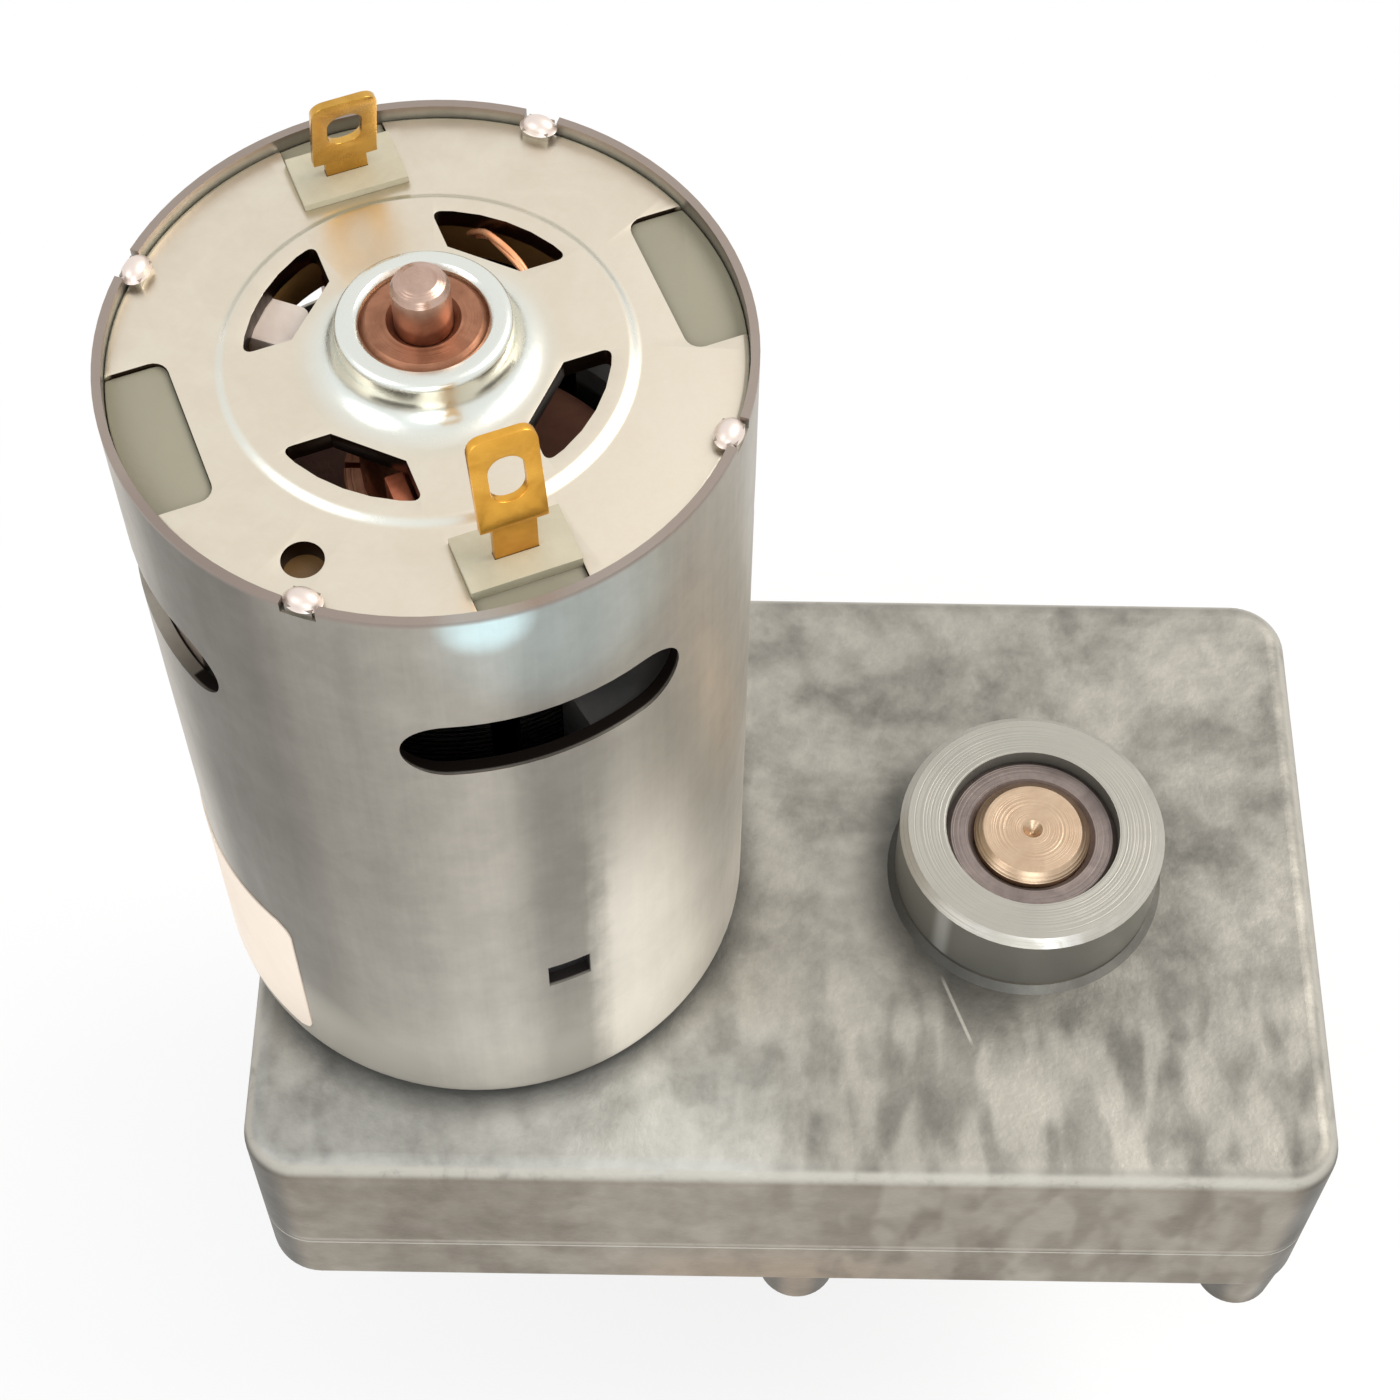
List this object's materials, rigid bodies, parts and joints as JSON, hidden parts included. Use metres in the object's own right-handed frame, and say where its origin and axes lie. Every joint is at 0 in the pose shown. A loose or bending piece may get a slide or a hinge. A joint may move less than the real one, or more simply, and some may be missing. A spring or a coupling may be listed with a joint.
{
  "type": "geared dc motor",
  "caption": "Brushed dc motor standing on a flat rectangular die-cast spur gearbox, with an offset slow output shaft and tapped mounting posts.",
  "frame": {"origin": "on the output shaft's axis, in the plane of the mounting posts' ends", "axes": "+Z from the mounting plane up to the motor, parallel to both shafts; -X from the output shaft towards the motor's axis; the working end of the output shaft points along -Z"},
  "size_m": [0.0765, 0.047, 0.1126],
  "materials": {
    "cast_alloy": "tumbled die casting, mottled, satin",
    "screw_steel": "plated steel",
    "plated_steel": "bright zinc-plated sheet steel, satin",
    "plate_steel": "bright plated sheet steel, satin",
    "nylon": "natural nylon, grey-white",
    "terminal_brass": "plain brass sheet",
    "carbon": "pressed carbon",
    "bronze": "sintered bronze, oily",
    "ferrite": "ferrite magnet",
    "spring_steel": "spring steel",
    "label_paper": "blank paper label",
    "ground_steel": "ground steel",
    "washer_fibre": "fibre",
    "sintered_iron": "sintered iron, oiled",
    "lamination_steel": "stacked laminations",
    "copper_wire": "enamelled copper wire",
    "commutator_copper": "turned copper",
    "gear_steel": "cut steel",
    "gear_nylon": "moulded acetal"
  },
  "bodies": {
    "motor_body": {"gearbox_housing": "cast_alloy", "gearbox_cover": "cast_alloy", "cover_screws": "screw_steel", "motor_screws": "screw_steel", "motor_can": "plated_steel", "motor_end_plate": "plate_steel", "brush_carrier": "nylon", "terminal_front": "terminal_brass", "terminal_rear": "terminal_brass", "carbon_brushes": "carbon", "brush_springs": "terminal_brass", "end_bushing": "bronze", "front_bushing": "bronze", "magnets": "ferrite", "magnet_clips": "spring_steel", "motor_label": "label_paper", "first_axle": "ground_steel", "second_axle": "ground_steel", "gear_washers": "washer_fibre", "upper_output_bushing": "sintered_iron", "lower_output_bushing": "sintered_iron"},
    "armature": {"motor_shaft": "ground_steel", "armature_core": "lamination_steel", "armature_windings": "copper_wire", "armature_insulators": "washer_fibre", "commutator": "commutator_copper", "thrust_washers": "nylon", "motor_pinion": "gear_steel"},
    "first_gear": {"first_gear_wheel": "gear_nylon", "first_gear_pinion": "gear_steel"},
    "second_gear": {"second_gear_wheel": "gear_steel", "second_gear_pinion": "gear_steel"},
    "output": {"output_gear": "gear_steel", "output_shaft": "ground_steel", "output_pin": "ground_steel", "output_spacer": "screw_steel", "output_washer": "screw_steel", "output_circlip": "spring_steel"}
  },
  "joints": [
    {"name": "armature_spin", "type": "hinge", "parent": "motor_body", "child": "armature", "pos_m": [-0.038, 0, 0.02], "axis": [0, 0, 1], "continuous": true},
    {"name": "first_gear_spin", "type": "hinge", "parent": "motor_body", "child": "first_gear", "pos_m": [-0.02531, -0.008, 0.02], "axis": [0, 0, 1], "continuous": true},
    {"name": "second_gear_spin", "type": "hinge", "parent": "motor_body", "child": "second_gear", "pos_m": [-0.02029, 0.0074, 0.02], "axis": [0, 0, 1], "continuous": true},
    {"name": "output_spin", "type": "hinge", "parent": "motor_body", "child": "output", "pos_m": [0, 0, 0.02], "axis": [0, 0, 1], "continuous": true}
  ],
  "couplings": [
    {"joint": "first_gear_spin", "follows": "armature_spin", "ratio": -0.25},
    {"joint": "second_gear_spin", "follows": "armature_spin", "ratio": 0.0875},
    {"joint": "output_spin", "follows": "armature_spin", "ratio": -0.030625}
  ]
}
